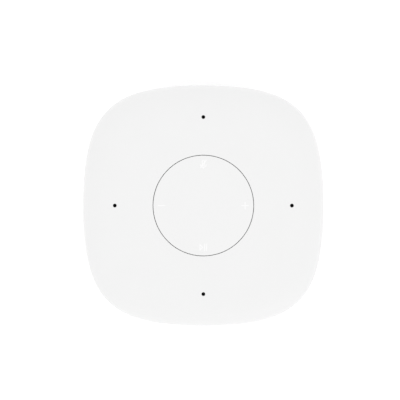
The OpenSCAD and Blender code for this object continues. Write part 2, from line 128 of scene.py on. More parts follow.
def circle(r, z, x=0, y=0, count=SPOKES):
    turns = [math.tau * i / count for i in range(count)]
    return [Vector((x + r * math.cos(t), y + r * math.sin(t), z)) for t in turns]


def mixed(loop_a, loop_b, factor):
    return [a.lerp(b, factor) for a, b in zip(loop_a, loop_b)]


def shoulder(rim, rim_z, crown, crown_z, exponent, steps):
    """Half widths and heights down a quarter of a superellipse, from the crown to the rim."""
    curve = []
    for i in range(steps + 1):
        u = i / steps
        eased = u**1.5 / (u**1.5 + (1 - u) ** 1.5)
        t = math.pi / 2 * (1 - eased)
        across = max(math.cos(t), 0) ** (2 / exponent)
        up = math.sin(t) ** (2 / exponent)
        curve.append((crown + (rim - crown) * across, rim_z + (crown_z - rim_z) * up))
    return curve


def fillet(points, steps=4):
    """Closed 2-D outline from points (x, y) or (x, y, corner radius), with its corners rounded."""
    outline = []
    for i, point in enumerate(points):
        radius = point[2] if len(point) > 2 else 0
        here = Vector(point[:2])
        if not radius:
            outline.append(here)
            continue
        before = Vector(points[i - 1][:2]) - here
        after = Vector(points[(i + 1) % len(points)][:2]) - here
        half_angle = before.angle(after) / 2
        reach = radius / math.tan(half_angle)
        inwards = (before.normalized() + after.normalized()).normalized()
        centre = here + inwards * radius / math.sin(half_angle)
        first = (here + before.normalized() * reach - centre).normalized()
        last = (here + after.normalized() * reach - centre).normalized()
        outline += [centre + first.slerp(last, k / steps) * radius for k in range(steps + 1)]
    return outline


def rectangle(x, y, width, height, radius=0):
    """Corner points for fillet(), about a middle."""
    w, h = width / 2, height / 2
    return [(x + w, y + h, radius), (x - w, y + h, radius), (x - w, y - h, radius), (x + w, y - h, radius)]


def rounded_box_outline(x, y, width, height, radius, steps=4):
    return fillet(rectangle(x, y, width, height, min(radius, width / 2 - 0.001, height / 2 - 0.001)), steps)


def face_outwards(solid):
    bmesh.ops.recalc_face_normals(solid, faces=solid.faces)
    if solid.calc_volume(signed=True) < 0:
        bmesh.ops.reverse_faces(solid, faces=solid.faces)
    return solid


def stitch(loops, ring=False):
    """Closed solid through loops of equal length; ring joins last to first in place of end caps."""
    solid = bmesh.new()
    rows = [[solid.verts.new(point) for point in loop] for loop in loops]
    pairs = list(zip(rows, rows[1:]))
    if ring:
        pairs.append((rows[-1], rows[0]))
    else:
        solid.faces.new(rows[0])
        solid.faces.new(rows[-1])
    for low, high in pairs:
        for i in range(len(low)):
            j = (i + 1) % len(low)
            solid.faces.new((low[i], low[j], high[j], high[i]))
    bmesh.ops.remove_doubles(solid, verts=solid.verts, dist=1e-5)
    return face_outwards(solid)


def lathe(profile, x=0, y=0, count=96):
    """Solid of revolution from a closed outline of (radius, height), flat where it meets the axis."""
    off_axis = [p for p in profile if p[0] > 0.001]
    return stitch([circle(*p, x, y, count) for p in off_axis], ring=len(off_axis) == len(profile))


def rod(r, z0, z1, x=0, y=0, count=48):
    return stitch([circle(r, z0, x, y, count), circle(r, z1, x, y, count)])


def prism(outline, z0, z1, edge=0, edge_steps=2, both=True):
    """Outline extruded in Z, with its top edges, or both ends' edges, rounded."""
    solid = stitch([[Vector((p[0], p[1], z)) for p in outline] for z in (z0, z1)])
    if edge:
        ends = (z0, z1) if both else (z1,)
        rims = [e for e in solid.edges if any(all(abs(v.co.z - z) < 1e-6 for v in e.verts) for z in ends)]
        bmesh.ops.bevel(solid, geom=rims, offset=edge, segments=edge_steps, profile=0.5,
                        affect="EDGES", clamp_overlap=True)
    return solid


def flared_cut(outline_at, z_surface, z_end, flare=0.2):
    """Cutter for a hole in a downward face, opened out at the surface; outline_at(grow) gives its outline."""
    levels = [(z_surface - 1, flare), (z_surface, flare), (z_surface + flare, 0), (z_end, 0)]
    return stitch([[Vector((p[0], p[1], z)) for p in outline_at(grow)] for z, grow in levels])


def box(x, y, z, edge=0, edge_steps=2):
    """Box between ranges of x, y and z, with all its edges rounded."""
    turn = ((0, 0), (1, 0), (1, 1), (0, 1))
    solid = stitch([[Vector((x[i], y[j], level)) for i, j in turn] for level in z])
    if edge:
        bmesh.ops.bevel(solid, geom=solid.edges[:], offset=edge, segments=edge_steps, profile=0.5,
                        affect="EDGES", clamp_overlap=True)
    return solid


def turned(solid, degrees, axis="Z", about=(0, 0, 0)):
    spin = Matrix.Translation(about) @ Matrix.Rotation(math.radians(degrees), 4, axis)
    bmesh.ops.transform(solid, matrix=spin @ Matrix.Translation(-Vector(about)), verts=solid.verts)
    return solid


def to_rear(solid, x=0, y=0, z=0):
    """Turns a solid drawn in X and height, with its front at Z 0, so that its front faces +Y at (x, y, z)."""
    swap = Matrix(((-1, 0, 0, x), (0, 0, 1, y), (0, 1, 0, z), (0, 0, 0, 1)))
    bmesh.ops.transform(solid, matrix=swap, verts=solid.verts)
    return face_outwards(solid)


def gather(*solids):
    """One mesh that holds separate solids."""
    whole = bmesh.new()
    for solid in solids:
        mesh = bpy.data.meshes.new("part")
        solid.to_mesh(mesh)
        solid.free()
        whole.from_mesh(mesh)
        bpy.data.meshes.remove(mesh)
    return whole


def combined(target, tool, operation):
    """Exact boolean of two closed solids: UNION, DIFFERENCE or INTERSECT."""
    objects = []
    for solid in (target, tool):
        mesh = bpy.data.meshes.new("operand")
        solid.to_mesh(mesh)
        solid.free()
        objects.append(bpy.data.objects.new("operand", mesh))
        bpy.context.scene.collection.objects.link(objects[-1])
    step = objects[0].modifiers.new("combine", "BOOLEAN")
    step.solver = "EXACT"
    step.operation = operation
    step.object = objects[1]
    result = bmesh.new()
    result.from_object(objects[0], bpy.context.evaluated_depsgraph_get())
    for item in objects:
        mesh = item.data
        bpy.data.objects.remove(item)
        bpy.data.meshes.remove(mesh)
    bmesh.ops.remove_doubles(result, verts=result.verts, dist=1e-4)
    bmesh.ops.dissolve_degenerate(result, edges=result.edges, dist=1e-4)
    return result


def cut(target, *tools):
    return combined(target, gather(*tools), "DIFFERENCE")


def soften(solid, width, steps=2, angle=50, where=lambda edge: True):
    """Rounds the sharp edges of a solid that pass a test."""
    limit = math.radians(angle)
    sharp = [e for e in solid.edges if len(e.link_faces) == 2 and e.calc_face_angle(0) > limit and where(e)]
    bmesh.ops.bevel(solid, geom=sharp, offset=width, segments=steps, profile=0.5, affect="EDGES",
                    clamp_overlap=True)
    return solid


# ---- Materials ----


class Shader:
    """A material under construction: its nodes, and short ways to add more."""

    def __init__(self, name, colour, roughness, metallic=0.0, **sockets):
        self.material = bpy.data.materials.new(name)
        self.material.use_nodes = True
        self.tree = self.material.node_tree
        self.shader = self.tree.nodes["Principled BSDF"]
        self.colour = colour
        self.roughness = roughness
        self.set("Base Color", (*colour, 1))
        self.set("Roughness", roughness)
        self.set("Metallic", metallic)
        for socket, value in sockets.items():
            self.set(socket.replace("_", " "), value)
        self.place = self.tree.nodes.new("ShaderNodeTexCoord").outputs["Object"]
        self.last_normal = None

    def set(self, socket, value):
        self.shader.inputs[socket].default_value = value

    def link(self, output, target):
        self.tree.links.new(output, target)

    def node(self, kind, **settings):
        made = self.tree.nodes.new(kind)
        for key, value in settings.items():
            if hasattr(made, key):
                setattr(made, key, value)
            else:
                made.inputs[key.replace("_", " ")].default_value = value
        return made

    def noise(self, size_mm, detail=2.0, stretch=(1, 1, 1)):
        """Noise with features of about a size, drawn out along an axis by a stretch under 1."""
        mapping = self.node("ShaderNodeMapping", Scale=stretch)
        self.link(self.place, mapping.inputs["Vector"])
        made = self.node("ShaderNodeTexNoise", Scale=1 / (size_mm * MM), Detail=detail)
        self.link(mapping.outputs["Vector"], made.inputs["Vector"])
        return made.outputs["Fac"]

    def ranged(self, value, low, high):
        """Noise, which lies mostly between 0.3 and 0.7, spread over a range."""
        made = self.node("ShaderNodeMapRange")
        for socket, number in (("From Min", 0.3), ("From Max", 0.7), ("To Min", low), ("To Max", high)):
            made.inputs[socket].default_value = number
        self.link(value, made.inputs["Value"])
        return made.outputs["Result"]

    def tint(self, factor, other):
        """Mixes the base colour towards another by a factor."""
        made = self.node("ShaderNodeMix", data_type="RGBA")
        made.inputs[6].default_value = (*self.colour, 1)
        made.inputs[7].default_value = (*other, 1)
        self.link(factor, made.inputs[0])
        self.link(made.outputs[2], self.shader.inputs["Base Color"])
        return self

    def shine(self, value, spread):
        self.link(self.ranged(value, self.roughness - spread, self.roughness + spread),
                  self.shader.inputs["Roughness"])
        return self

    def relief(self, height, depth_mm, strength=1.0):
        """Adds a bump of a real depth, over any bump that is there already."""
        made = self.node("ShaderNodeBump", Strength=strength, Distance=depth_mm * MM)
        self.link(height, made.inputs["Height"])
        if self.last_normal:
            self.link(self.last_normal, made.inputs["Normal"])
        self.last_normal = made.outputs["Normal"]
        self.link(self.last_normal, self.shader.inputs["Normal"])
        return self

    def clear_from_behind(self):
        """Lets the underside of the object be seen through the floor."""
        see_through = self.node("ShaderNodeBsdfTransparent")
        choice = self.node("ShaderNodeMixShader")
        self.link(self.node("ShaderNodeNewGeometry").outputs["Backfacing"], choice.inputs[0])
        self.link(self.shader.outputs["BSDF"], choice.inputs[1])
        self.link(see_through.outputs["BSDF"], choice.inputs[2])
        self.link(choice.outputs["Shader"], self.tree.nodes["Material Output"].inputs["Surface"])


def scaled(colour, factor):
    return tuple(min(c * factor, 1) for c in colour)


def moulded(name, colour, roughness, grain_mm=0.35, grain_depth=0.012, mottle=0.02, **sockets):
    """Moulded plastic: fine spark-eroded grain, faint flow mottling and uneven gloss."""
    look = Shader(name, colour, roughness, **sockets)
    look.tint(look.ranged(look.noise(18, 3), 0, 1), scaled(colour, 1 - mottle))
    look.shine(look.noise(6, 3), 0.04)
    look.relief(look.noise(grain_mm, 3), grain_depth)
    return look.material


def soft_rubber(name, colour, roughness=0.75):
    look = Shader(name, colour, roughness, Specular_IOR_Level=0.3)
    look.tint(look.ranged(look.noise(4, 4), 0, 1), scaled(colour, 1.35))
    look.shine(look.noise(1.5, 3), 0.08)
    look.relief(look.noise(0.25, 4), 0.02)
    return look.material


def drawn_metal(name, colour, roughness, stretch=(1, 0.06, 1)):
    """Sheet or turned metal with fine lines along one axis and faint stains."""
    look = Shader(name, colour, roughness, metallic=1.0)
    lines = look.noise(0.12, 3, stretch)
    look.tint(look.ranged(look.noise(3, 4), 0, 1), scaled(colour, 0.86))
    look.shine(lines, 0.06)
    look.relief(lines, 0.0012)
    return look.material


def circuit_board(name, colour):
    """Solder mask over copper tracks: rows of tracks in blocks, with pale pads."""
    look = Shader(name, colour, 0.32, Coat_Weight=0.3, Coat_Roughness=0.15)
    tracks = look.node("ShaderNodeTexBrick", offset=0.37, squash=1.6, Scale=1 / (2.4 * MM))
    for socket, number in (("Mortar Size", 0.06), ("Mortar Smooth", 0.1),
                           ("Brick Width", 0.9), ("Row Height", 0.22)):
        tracks.inputs[socket].default_value = number
    tracks.inputs["Color1"].default_value = (1, 1, 1, 1)
    tracks.inputs["Color2"].default_value = (0.75, 0.75, 0.75, 1)
    tracks.inputs["Mortar"].default_value = (0, 0, 0, 1)
    look.link(look.place, tracks.inputs["Vector"])
    look.tint(tracks.outputs["Fac"], scaled(colour, 1.9))
    look.relief(tracks.outputs["Fac"], 0.03)
    return look.material


def chip_top(name):
    look = Shader(name, (0.035, 0.036, 0.039), 0.55)
    look.tint(look.ranged(look.noise(0.5, 4), 0, 1), (0.055, 0.056, 0.06))
    look.relief(look.noise(0.12, 3), 0.01)
    return look.material


def clear_resin(name, colour, roughness=0.3):
    look = Shader(name, colour, roughness, Transmission_Weight=0.55, IOR=1.49)
    look.shine(look.noise(2, 3), 0.08)
    look.relief(look.noise(0.6, 2), 0.01)
    return look.material


def ribbon_film(name):
    look = Shader(name, (0.80, 0.78, 0.70), 0.35, Coat_Weight=0.4)
    wires = look.node("ShaderNodeTexWave", wave_type="BANDS", bands_direction="X", Scale=0.16 / MM)
    look.link(look.place, wires.inputs["Vector"])
    look.tint(wires.outputs["Fac"], (0.52, 0.40, 0.22))
    look.relief(wires.outputs["Fac"], 0.04)
    return look.material


WHITE = (0.735, 0.735, 0.735)
WHITE_SHELL = moulded("shell plastic", WHITE, 0.42, grain_depth=0.006, mottle=0.008)
WHITE_DISC = moulded("disc plastic", WHITE, 0.38, grain_mm=0.3, grain_depth=0.004, mottle=0.006)
WHITE_BASE = moulded("base plastic", scaled(WHITE, 0.93), 0.5, grain_mm=0.45, grain_depth=0.02, mottle=0.015)
ICON_WHITE = moulded("icon inlay", (0.81, 0.81, 0.81), 0.3, grain_mm=0.2, grain_depth=0.002, mottle=0.01)
DARK_PANEL = moulded("panel plastic", (0.045, 0.047, 0.050), 0.48, grain_depth=0.03, mottle=0.15)
BLACK_PLASTIC = moulded("black plastic", (0.022, 0.023, 0.024), 0.42, grain_depth=0.02, mottle=0.2)
CREAM_PLASTIC = moulded("acetal", (0.78, 0.74, 0.62), 0.35, grain_depth=0.006)
RED_PLASTIC = moulded("red acetal", (0.55, 0.05, 0.04), 0.35, grain_depth=0.006, mottle=0.1)
CAP_SLEEVE = moulded("sleeve film", (0.05, 0.06, 0.12), 0.25, grain_mm=1.2, grain_depth=0.01, mottle=0.2)
CONE_PAPER = moulded("cone paper", (0.05, 0.052, 0.06), 0.7, grain_mm=0.7, grain_depth=0.06, mottle=0.3)
FERRITE = moulded("ferrite", (0.07, 0.07, 0.075), 0.6, grain_mm=0.5, grain_depth=0.05, mottle=0.3)
GREY_RUBBER = soft_rubber("foot rubber", (0.17, 0.172, 0.176))
BLACK_RUBBER = soft_rubber("black rubber", (0.010, 0.010, 0.011), 0.85)
PAD_SILICONE = soft_rubber("thermal silicone", (0.30, 0.42, 0.52), 0.6)
CABLE_JACKET = soft_rubber("lead jacket", (0.03, 0.03, 0.03), 0.5)
STEEL = drawn_metal("zinc-plated steel", (0.62, 0.63, 0.65), 0.32)
NICKEL = drawn_metal("nickel plate", (0.66, 0.65, 0.62), 0.26)
GOLD = drawn_metal("gold plate", (0.85, 0.62, 0.27), 0.25)
COPPER = drawn_metal("enamelled copper", (0.70, 0.30, 0.14), 0.3, (1, 1, 0.1))
ALUMINIUM = drawn_metal("extruded aluminium", (0.66, 0.67, 0.69), 0.4)
BOARD_GREEN = circuit_board("green solder mask", (0.010, 0.085, 0.035))
CHIP = chip_top("chip epoxy")
GUIDE_RESIN = clear_resin("light guide resin", (0.90, 0.92, 0.94), 0.35)
LED_RESIN = clear_resin("led resin", (0.92, 0.86, 0.60))
RIBBON = ribbon_film("ribbon film")

SLOT_LOOKS = {
    "white_shell": WHITE_SHELL, "base_plastic": WHITE_BASE, "icon_white": ICON_WHITE,
    "panel_plastic": DARK_PANEL, "black_plastic": BLACK_PLASTIC, "cream_plastic": CREAM_PLASTIC,
    "red_plastic": RED_PLASTIC, "capacitor_sleeve": CAP_SLEEVE, "speaker_cone": CONE_PAPER,
    "ferrite": FERRITE, "magnet": FERRITE, "grey_rubber": GREY_RUBBER, "black_rubber": BLACK_RUBBER,
    "thermal_pad": PAD_SILICONE, "cable": CABLE_JACKET, "steel": STEEL, "nickel": NICKEL, "gold": GOLD,
    "copper": COPPER, "aluminium": ALUMINIUM, "green_board": BOARD_GREEN, "chip_epoxy": CHIP,
    "clear_plastic": GUIDE_RESIN, "led": LED_RESIN, "ribbon": RIBBON,
}


def finish_cad_nodes():
    """Gives every CAD node the look of its material slot, and smooth shading up to its real edges."""
    for part in frame["record"]["subparts"]:
        node = frame["nodes"][part["node"]]
        node.data.materials.clear()
        node.data.materials.append(SLOT_LOOKS[part["material_slot"]])
        node.data.polygons.foreach_set("use_smooth", [True] * len(node.data.polygons))
        node.data.set_sharp_from_angle(angle=math.radians(30))


def piece(name, solid, body, slot, *nodes, look=None, smooth=32):
    """A finished visual piece on a CAD body, standing for CAD nodes."""
    bmesh.ops.transform(solid, matrix=Matrix.Scale(MM, 4), verts=solid.verts)
    mesh = bpy.data.meshes.new(name)
    solid.to_mesh(mesh)
    solid.free()
    mesh.polygons.foreach_set("use_smooth", [True] * len(mesh.polygons))
    mesh.set_sharp_from_angle(angle=math.radians(smooth))
    mesh.materials.append(look or SLOT_LOOKS[slot])
    made = bpy.data.objects.new(name, mesh)
    flat_faces = made.modifiers.new("flat faces", "WEIGHTED_NORMAL")
    flat_faces.keep_sharp = True
    bpy.context.scene.collection.objects.link(made)
    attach(made, body)
    if nodes:
        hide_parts(*nodes)
    return made


# ---- Case ----


def cover_solid():
    """Cover skin: outer crown, shoulder and wall, a rounded bottom edge, and the inside with its collar."""
    rim_z = BODY_TOP - SHOULDER_H
    crown_loop = squircle(CROWN, BODY_TOP)
    lip = circle(HOLE_R + 0.22, BODY_TOP)
    loops = [circle(HOLE_R, SKIRT_BOTTOM - 0.2), circle(HOLE_R, BODY_TOP - 0.22)]
    loops += [circle(HOLE_R + 0.064, BODY_TOP - 0.064), lip]
    loops += [mixed(lip, crown_loop, k / 5) for k in range(1, 5)]
    loops += [squircle(w, z) for w, z in shoulder(HALF, rim_z, CROWN, BODY_TOP, SHOULDER_EXPONENT, 36)]
    taper_top = COVER_BOTTOM + 6
    for k in range(1, 12):
        z = rim_z - (rim_z - COVER_BOTTOM - 0.3) * k / 11
        loops.append(squircle(HALF - 0.5 * (max(taper_top - z, 0) / 6) ** 2, z))
    loops += [squircle(HALF - 0.58, COVER_BOTTOM + 0.08), squircle(HALF - 0.8, COVER_BOTTOM)]
    loops += [squircle(HALF - 0.5 - WALL, COVER_BOTTOM), squircle(HALF - WALL, taper_top)]
    inside = shoulder(HALF - WALL, rim_z, CROWN - WALL / 2, BODY_TOP - WALL, SHOULDER_EXPONENT, 14)
    loops += [squircle(w, z) for w, z in reversed(inside)]
    loops += [circle(HOLE_R + 1.1, BODY_TOP - WALL), circle(HOLE_R + 1.1, SKIRT_BOTTOM - 0.2)]
    return stitch(loops, ring=True)


def mic_cutter(x, y, surface):
    """Port of a microphone, eased at the surface, with the wider seat of its boot below."""
    seat = BODY_TOP - 1.4
    return lathe([(0, 20), (1.6, 20), (1.6, seat), (MIC_HOLE_R, seat), (MIC_HOLE_R, surface - 0.1),
                  (MIC_HOLE_R + 0.12, surface + 0.08), (MIC_HOLE_R + 0.12, surface + 2), (0, surface + 2)],
                 x, y, 48)


def quarter_points(r):
    return [(r * math.cos(math.radians(a)), r * math.sin(math.radians(a))) for a in QUARTERS]


def corner_points(d):
    return [(x, y) for x in (-d, d) for y in (-d, d)]


def cover_height(w):
    """Height of the cover's outside over a half width on an axis."""
    across = (w - CROWN) / (HALF - CROWN)
    return BODY_TOP - SHOULDER_H + SHOULDER_H * (1 - across**SHOULDER_EXPONENT) ** (1 / SHOULDER_EXPONENT)


def build_cover():
    rods = [rod(3.2, BODY_TOP - 5.5, BODY_TOP - 1.4, x, y) for x, y in quarter_points(MIC_R)]
    rods += [rod(2.8, BASE_TOP + 0.1, BODY_TOP - 1.8, x, y) for x, y in corner_points(CASE_SCREW_XY)]
    rods += [rod(2.4, CONTROL_BOARD_TOP, BODY_TOP - 1.6, x, y) for x, y in corner_points(BOARD_BOSS_XY)]
    cover = combined(cover_solid(), gather(*rods), "UNION")
    surface = cover_height(MIC_R)
    cutters = [mic_cutter(x, y, surface) for x, y in quarter_points(MIC_R)]
    cutters += [rod(1.15, 0, 18, x, y, 24) for x, y in corner_points(CASE_SCREW_XY)]
    cutters += [rod(0.8, 20, BODY_TOP - 4, x, y, 24) for x, y in corner_points(BOARD_BOSS_XY)]
    opening = rounded_box_outline(0, 0, 2 * panel_high.x + 0.2, 2 * (panel_high.z + 0.1), 3, 8)
    cutters.append(to_rear(prism(outline=opening, z0=-15, z1=5), 0, HALF, 0))
    cover = cut(cover, *cutters)
    piece("cover_shell", cover, "case", "white_shell", "top_cover")


def base_profile():
    """Half widths and heights of the base: up the outside, over the locating lip and down the inside."""
    curve = shoulder(BASE_RIM, BASE_TOP, BASE_FLAT, FOOT_H, 2.2, 18)
    outside = [(w, z) for w, z in curve if z < BASE_TOP - 0.35]
    outside += [(BASE_RIM, BASE_TOP - 0.25), (BASE_RIM - 0.08, BASE_TOP - 0.06), (BASE_RIM - 0.3, BASE_TOP)]
    lip = [(52, BASE_TOP), (52, 9.3), (51.7, 9.6), (51.1, 9.6), (50.8, 9.3), (50.8, 6)]
    return outside + lip + [(50.4, FLOOR_TOP + 0.9), (49.9, FLOOR_TOP + 0.3), (49.2, FLOOR_TOP)]


def corner_arc(half, reach, steps=28):
    """Points of a rounded square near its first corner, where both coordinates pass a reach."""
    other = (half**SQUARENESS - reach**SQUARENESS) ** (1 / SQUARENESS)
    start = math.atan2(reach, other)
    turns = [start + (math.pi / 2 - 2 * start) * k / steps for k in range(steps + 1)]
    return [squircle_point(half, t).xy for t in turns]


def foot_outline(grow=0):
    """Corner piece of a rounded-square ring with rounded ends."""
    points = []
    reach = FOOT_CUT - grow
    for arc in (corner_arc(FOOT_OUT + grow, reach), corner_arc(FOOT_IN - grow, reach)[::-1]):
        first, last = arc[0], arc[-1]
        middle = [p for p in arc if min((p - first).length, (p - last).length) > 2.5]
        points += [(*first, 1.2 + grow), *middle, (*last, 1.2 + grow)]
    return fillet(points, 5)


def slot_cut(x, y, width, height, radius=0.7):
    def outline(grow):
        return rounded_box_outline(x, y, width + 2 * grow, height + 2 * grow, radius + grow, 5)

    return flared_cut(outline, FOOT_H, FLOOR_TOP + 1)


def speaker_slots():
    slots = []
    for i in range(-4, 5):
        x = 3 * i
        slots.append(slot_cut(x, SPEAKER_Y, 1.4, 2 * math.sqrt(SLOT_R**2 - x * x) - 1))
    return slots


def vent_slots():
    return [slot_cut(side * 26, 8.5 + 3 * row, 15, 1.4) for side in (-1, 1) for row in range(6)]


def screw_well(x, y):
    """Counterbore and clearance hole of a case screw."""
    return lathe([(0, 0), (2.9, 0), (2.9, FOOT_H), (2.6, FOOT_H + 0.3),
                  (2.6, 4.6), (1.35, 4.6), (1.35, 12), (0, 12)], x, y, 48)


def build_base():
    base = stitch([squircle(w, z) for w, z in base_profile()])
    posts = [rod(3.4, FOOT_H + 1, BASE_TOP, x, y) for x, y in corner_points(CASE_SCREW_XY)]
    posts += [rod(2.6, FOOT_H + 1, board_low.z, x, y) for x, y in MAIN_SCREWS]
    base = combined(base, gather(*posts), "UNION")
    rear = box((-panel_high.x - 1.5, panel_high.x + 1.5), (40, HALF + 5), (BASE_TOP, 20))
    grooves = [turned(prism(foot_outline(0.12), 0, FOOT_H + FOOT_SEAT), a) for a in QUARTERS]
    base = cut(base, rear, *grooves)
    wells = [screw_well(x, y) for x, y in corner_points(CASE_SCREW_XY)]
    pilots = [rod(0.9, FLOOR_TOP + 0.6, 12, x, y, 24) for x, y in MAIN_SCREWS]
    reset = lathe([(0, 0), (2.8, 0), (2.8, FOOT_H), (2.5, FOOT_H + 0.3), (2.5, 12), (0, 12)], 0, RESET_Y, 64)
    label = flared_cut(lambda grow: rounded_box_outline(0, 17, 28 + grow, 18 + grow, 1.5, 6),
                       FOOT_H, FOOT_H + 0.3, 0.1)
    base = cut(base, reset, label, *wells, *pilots, *speaker_slots(), *vent_slots())
    piece("base_shell", base, "case", "base_plastic", "base_tray")


def build_feet():
    feet = [turned(prism(foot_outline(), FOOT_H + FOOT_SEAT, 0, 0.4, 3, both=False), a) for a in QUARTERS]
    piece("rubber_feet", gather(*feet), "case", "grey_rubber", "feet")


def build_reset_cap():
    face = FOOT_H + 0.5
    cap = lathe([(0, face + 0.12), (0.9, face + 0.08), (1.5, face), (2.15, face), (2.4, face + 0.2),
                 (2.4, FLOOR_TOP + 0.1), (3.4, FLOOR_TOP + 0.1), (3.4, FLOOR_TOP + 0.8),
                 (1.2, FLOOR_TOP + 0.8), (1.2, 5.15), (0, 5.15)], 0, RESET_Y, 64)
    piece("reset_button_cap", cap, "reset_button", "panel_plastic", "reset_cap")


# ---- Control disc and microphones ----


def build_disc():
    disc = lathe(fillet([(0, DISC_TOP), (DISC_R, DISC_TOP, 0.22), (DISC_R, SKIRT_BOTTOM, 0.15),
                         (21.3, SKIRT_BOTTOM, 0.15), (21.3, 30.2), (0, 30.2)], 4), count=SPOKES)
    pocket = DISC_TOP - 0.3
    disc = cut(disc, *[shape(pocket, DISC_TOP + 1) for shape in ICONS])
    piece("disc_plate", disc, "disc", "white_shell", "control_disc", look=WHITE_DISC)
    inlays = [shape(pocket, DISC_TOP + 0.02) for shape in ICONS]
    piece("icon_inlays", gather(*inlays), "disc", "icon_white", "disc_icons")


# Distance of the icons from the centre, and the width of their strokes
ICON_R = 19.0
STROKE = 0.42


def bar(x, y, width, height, z0, z1):
    return prism(rounded_box_outline(x, y, width, height, STROKE / 2, 4), z0, z1)


def outlined(outer, inner, z0, z1):
    """Closed stroke between two outlines with the same number of points."""
    levels = ((outer, z0), (outer, z1), (inner, z1), (inner, z0))
    return stitch([[Vector((p[0], p[1], z)) for p in outline] for outline, z in levels], ring=True)


def minus_icon(z0, z1):
    return bar(-ICON_R, 0, 3.5, STROKE, z0, z1)


def plus_icon(z0, z1):
    w, h, r = 1.75, STROKE / 2, 0.18
    arms = [(w, -h, r), (w, h, r), (h, h), (h, w, r), (-h, w, r), (-h, h),
            (-w, h, r), (-w, -h, r), (-h, -h), (-h, -w, r), (h, -w, r), (h, -h)]
    return prism([p + Vector((ICON_R, 0)) for p in fillet(arms, 4)], z0, z1)


def play_pause_icon(z0, z1):
    y = -ICON_R
    outer = fillet([(-1.75, y - 1.8, 0.15), (-0.05, y, 0.15), (-1.75, y + 1.8, 0.15)], 4)
    inner = fillet([(-1.35, y - 0.75, 0.04), (-0.62, y, 0.04), (-1.35, y + 0.75, 0.04)], 4)
    bars = [bar(x, y, STROKE, 3.5, z0, z1) for x in (0.6, 1.5)]
    return gather(outlined(outer, inner, z0, z1), *bars)


def crossed_microphone_icon(z0, z1):
    y = ICON_R
    capsule = outlined(rounded_box_outline(0, y + 0.35, 1.42, 2.9, 0.7, 8),
                       rounded_box_outline(0, y + 0.35, 0.66, 2.14, 0.32, 8), z0, z1)
    turns = [math.pi * (1 + k / 20) for k in range(21)]
    arc_y = y - 0.25
    cup = [(1.5 * math.cos(t), arc_y + 1.5 * math.sin(t)) for t in turns]
    cup += [(1.12 * math.cos(t), arc_y + 1.12 * math.sin(t)) for t in reversed(turns)]
    stand = combined(prism(cup, z0, z1), bar(0, y - 1.85, STROKE, 0.8, z0, z1), "UNION")
    slash = turned(bar(0, y - 0.05, 4.6, STROKE, z0, z1), 52, about=(0, y - 0.05, 0))
    icon = combined(combined(capsule, stand, "UNION"), slash, "UNION")
    bmesh.ops.remove_doubles(icon, verts=icon.verts, dist=0.01)
    return icon


ICONS = [minus_icon, plus_icon, play_pause_icon, crossed_microphone_icon]


def build_microphone_boots():
    """Rubber tubes that carry sound from the ports down to the microphones, each with its dust screen."""
    boots = []
    nose = cover_height(MIC_R) - 0.3
    snug = MIC_HOLE_R - 0.01
    for x, y in quarter_points(MIC_R):
        boots.append(lathe([(0.7, CONTROL_BOARD_TOP), (BOOT_R, CONTROL_BOARD_TOP), (BOOT_R, BODY_TOP - 5.7),
                            (1.5, BODY_TOP - 5.7), (1.5, BODY_TOP - 1.5), (snug, BODY_TOP - 1.5),
                            (snug, nose - 0.05),
                            (snug - 0.04, nose), (snug - 0.08, nose - 0.05), (0.74, nose - 0.4)], x, y, 48))
        boots.append(rod(0.72, BODY_TOP - 4.2, BODY_TOP - 4.0, x, y, 24))
    piece("port_boots", gather(*boots), "case", "black_rubber", "microphone_boots")


# ---- Rear panel and sockets ----


def middle_width_height(node):
    """A socket's middle in X, and its width and height."""
    low, high = corners(node)
    return (low.x + high.x) / 2, high.x - low.x, high.z - low.z


SOCKET_Y = corners("hdmi_socket")[1].y
HDMI_X, HDMI_W, HDMI_H = middle_width_height("hdmi_socket")
NETWORK_X, NETWORK_W, NETWORK_H = middle_width_height("ethernet_socket")
USB_X, USB_W, USB_H = middle_width_height("usb_socket")
POWER_X, POWER_W, POWER_H = middle_width_height("power_jack")
POWER_Z = BOARD_TOP + POWER_H / 2


def build_panel():
    """Recessed panel with a window for each socket, trimmed to the outline of the case."""
    high = panel_high.z
    low = panel_low.z
    front = panel_high.y + 1
    face_y = panel_low.y + 1.5
    w = RECESS_HALF
    outside = fillet([(w, high, 2.9), (-w, high, 2.9), (-w, low, 0.6), (w, low, 0.6)], 8)
    block = to_rear(prism(outside, panel_low.y - front, 0), 0, front, 0)
    limit = stitch([squircle(HALF - 0.8, z) for z in (0, 30)])
    panel = combined(block, limit, "INTERSECT")
    w = RECESS_HALF - RECESS_SIDE
    top = high - RECESS_BROW
    recess = fillet([(w, top, 2), (-w, top, 2), (-w, low + 1, 0.8), (w, low + 1, 0.8)], 6)
    tray = to_rear(prism(recess, face_y - front, 5), 0, front, 0)
    windows = []
    sockets = [(HDMI_X, HDMI_W, HDMI_H), (NETWORK_X, NETWORK_W, NETWORK_H), (USB_X, USB_W, USB_H)]
    for x, width, height in sockets:
        outline = rounded_box_outline(-x, BOARD_TOP + height / 2 + 0.1, width + 0.6, height + 0.4, 0.7)
        windows.append(to_rear(prism(outline, -5, 0.05), 0, face_y, 0))
    jack = turned(lathe([(0, -5), (4, -5), (4, 2), (0, 2)], count=64), -90, "X")
    bmesh.ops.translate(jack, vec=Vector((POWER_X, face_y, POWER_Z)), verts=jack.verts)
    panel = cut(cut(panel, tray), jack, *windows)
    soften(panel, 0.15, 2, 60)
    bmesh.ops.dissolve_degenerate(panel, dist=0.002, edges=panel.edges[:])
    piece("port_panel", panel, "case", "panel_plastic", "rear_port_panel")


def cup(outline_at, depth, wall, lip=0.15):
    """Open-fronted shell drawn with its front at Z 0: outline_at(inset) gives its outline."""
    levels = [(0, -depth), (0, -lip), (lip, 0), (wall - lip / 2, 0), (wall, -lip), (wall, wall - depth)]
    return stitch([[Vector((p[0], p[1], z)) for p in outline_at(inset)] for inset, z in levels])


